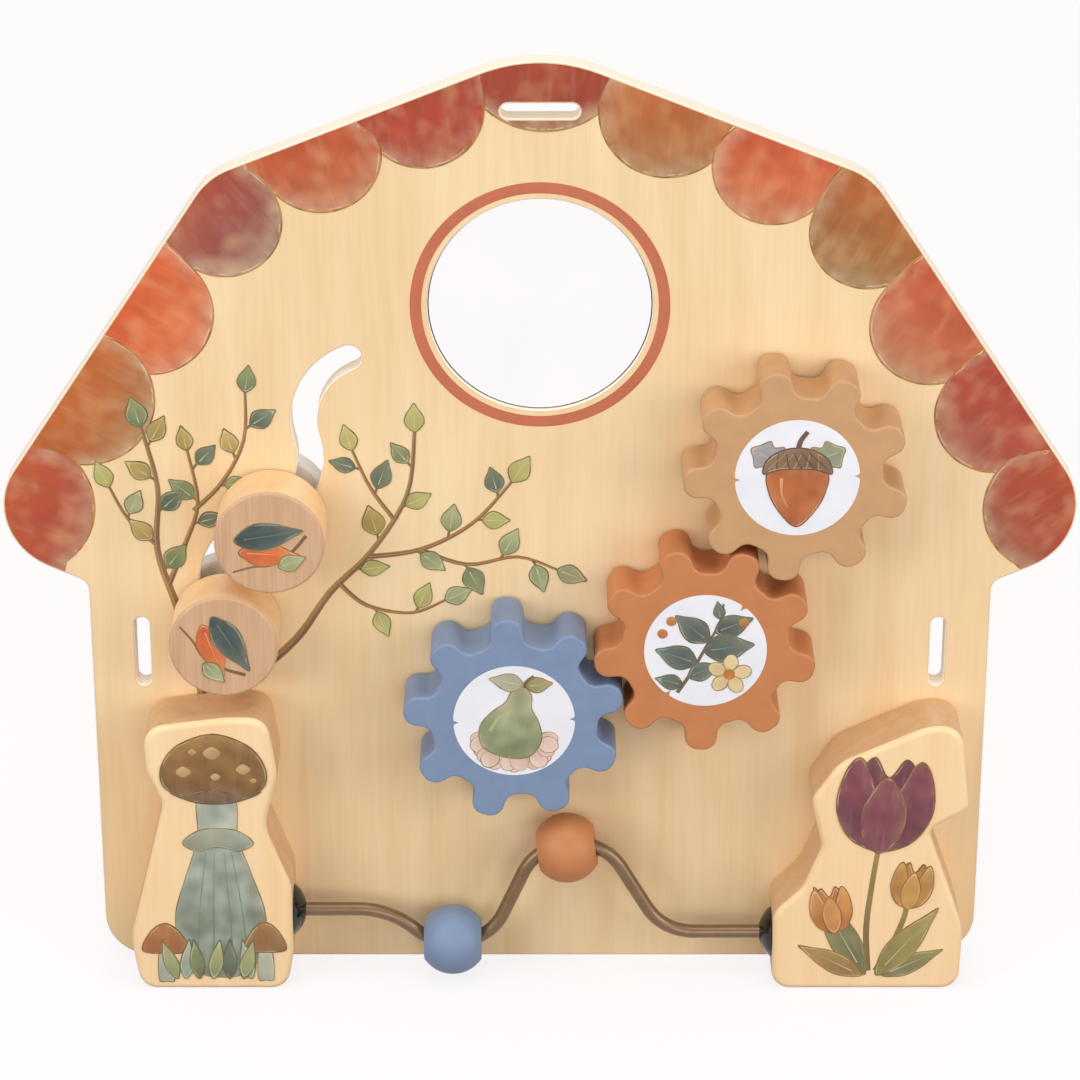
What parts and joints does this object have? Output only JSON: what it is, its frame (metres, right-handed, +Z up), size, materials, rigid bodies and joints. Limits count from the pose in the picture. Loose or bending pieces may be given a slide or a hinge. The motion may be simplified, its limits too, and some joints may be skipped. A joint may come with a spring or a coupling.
{
  "type": "activity panel",
  "caption": "Free-standing wooden activity panel with meshing gears, disc sliders in an S-shaped slot, a round mirror and a bent bead wire between two foot blocks.",
  "frame": {"origin": "centre of the whole panel's footprint in X and Y, on the floor plane that the board and the foot blocks stand on", "axes": "+Z up, +X to the panel's right as the viewer sees its front, -Y out of the front face towards the viewer"},
  "size_m": [0.38, 0.0457, 0.3462],
  "materials": {
    "plywood": "birch plywood, clear matt lacquer",
    "beech": "sanded hardwood, clear matt lacquer",
    "mirror": "back-coated acrylic mirror",
    "foam": "white adhesive foam",
    "nylon": "natural nylon sheet",
    "paint_tan": "matt tan paint on plywood",
    "paint_terracotta": "matt terracotta paint on wood",
    "paint_blue": "matt grey-blue paint on wood",
    "wire": "bronze lacquer on steel wire",
    "black_plastic": "moulded gloss black",
    "zinc": "zinc-plated steel"
  },
  "bodies": {
    "panel": {"house_board": "plywood", "mirror": "mirror", "mirror_adhesive_pad": "foam", "foot_block_left": "beech", "foot_block_right": "beech", "foot_screw_left_lower": "zinc", "foot_screw_left_upper": "zinc", "foot_screw_right_lower": "zinc", "foot_screw_right_upper": "zinc", "bead_wire": "wire", "wire_cap_left": "black_plastic", "wire_cap_right": "black_plastic"},
    "gear_terracotta_wheel": {"gear_terracotta": "paint_terracotta", "gear_terracotta_peg": "beech", "gear_terracotta_washer": "nylon", "gear_terracotta_rear_cap": "beech"},
    "gear_tan_wheel": {"gear_tan": "paint_tan", "gear_tan_peg": "beech", "gear_tan_washer": "nylon", "gear_tan_rear_cap": "beech"},
    "gear_blue_wheel": {"gear_blue": "paint_blue", "gear_blue_peg": "beech", "gear_blue_washer": "nylon", "gear_blue_rear_cap": "beech"},
    "slider_upper_glide": {"slider_upper_washer": "nylon"},
    "slider_upper_knob": {"slider_upper_disc": "beech", "slider_upper_peg": "beech", "slider_upper_rear_disc": "beech"},
    "slider_lower_glide": {"slider_lower_washer": "nylon"},
    "slider_lower_knob": {"slider_lower_disc": "beech", "slider_lower_peg": "beech", "slider_lower_rear_disc": "beech"},
    "blue_bead": {"bead_blue": "paint_blue"},
    "orange_bead": {"bead_orange": "paint_terracotta"}
  },
  "joints": [
    {"name": "gear_terracotta_spin", "type": "hinge", "parent": "panel", "child": "gear_terracotta_wheel", "pos_m": [0.0585, 0.0033, 0.13633], "axis": [0, -1, 0], "continuous": true},
    {"name": "gear_tan_spin", "type": "hinge", "parent": "panel", "child": "gear_tan_wheel", "pos_m": [0.0892, 0.0033, 0.20278], "axis": [0, -1, 0], "continuous": true},
    {"name": "gear_blue_spin", "type": "hinge", "parent": "panel", "child": "gear_blue_wheel", "pos_m": [-0.00923, 0.0033, 0.10855], "axis": [0, -1, 0], "continuous": true},
    {"name": "slider_upper_travel", "type": "hinge", "parent": "panel", "child": "slider_upper_glide", "pos_m": [-0.1073, 0.0033, 0.2013], "axis": [0, -1, 0], "range_deg": [-9, 77]},
    {"name": "slider_upper_spin", "type": "hinge", "parent": "slider_upper_glide", "child": "slider_upper_knob", "pos_m": [-0.09459, 0.0033, 0.17805], "axis": [0, -1, 0], "continuous": true},
    {"name": "slider_lower_travel", "type": "hinge", "parent": "panel", "child": "slider_lower_glide", "pos_m": [-0.09242, 0.0033, 0.15262], "axis": [0, 1, 0], "range_deg": [-18, 7]},
    {"name": "slider_lower_spin", "type": "hinge", "parent": "slider_lower_glide", "child": "slider_lower_knob", "pos_m": [-0.11193, 0.0033, 0.13797], "axis": [0, -1, 0], "continuous": true},
    {"name": "bead_blue_travel", "type": "hinge", "parent": "panel", "child": "blue_bead", "pos_m": [-0.032, -0.0107, 0.03356], "axis": [0, -1, 0], "range_deg": [-12, 32]},
    {"name": "bead_orange_travel", "type": "hinge", "parent": "panel", "child": "orange_bead", "pos_m": [0.0123, -0.0107, 0.035], "axis": [0, -1, 0], "range_deg": [-36, 24]}
  ],
  "couplings": [
    {"joint": "gear_tan_spin", "follows": "gear_terracotta_spin", "ratio": -1},
    {"joint": "gear_blue_spin", "follows": "gear_terracotta_spin", "ratio": -1}
  ]
}
